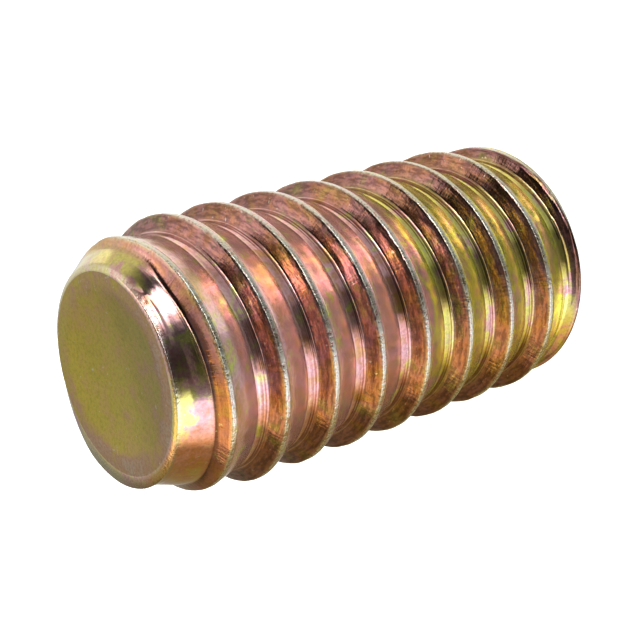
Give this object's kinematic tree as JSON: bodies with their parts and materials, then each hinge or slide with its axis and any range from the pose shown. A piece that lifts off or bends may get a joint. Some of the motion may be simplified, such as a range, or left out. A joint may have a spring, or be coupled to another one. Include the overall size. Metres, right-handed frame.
{
  "type": "threaded insert",
  "caption": "Blind threaded insert for wood: coarse outer thread, closed dished end, hexagon drive socket and tapped hole in the open end, in yellow passivated steel.",
  "frame": {"origin": "middle of the open end's face, on the insert's axis", "axes": "+Z along the axis from the open end to the closed end; +X and +Y across it, with the outer thread starting at the closed end above +X"},
  "size_m": [0.012, 0.012, 0.022],
  "materials": {
    "plated_steel": "zinc plated and yellow passivated, with pink and green tints, worn on the crests"
  },
  "bodies": {
    "root": {"insert_body": "plated_steel"}
  },
  "joints": []
}
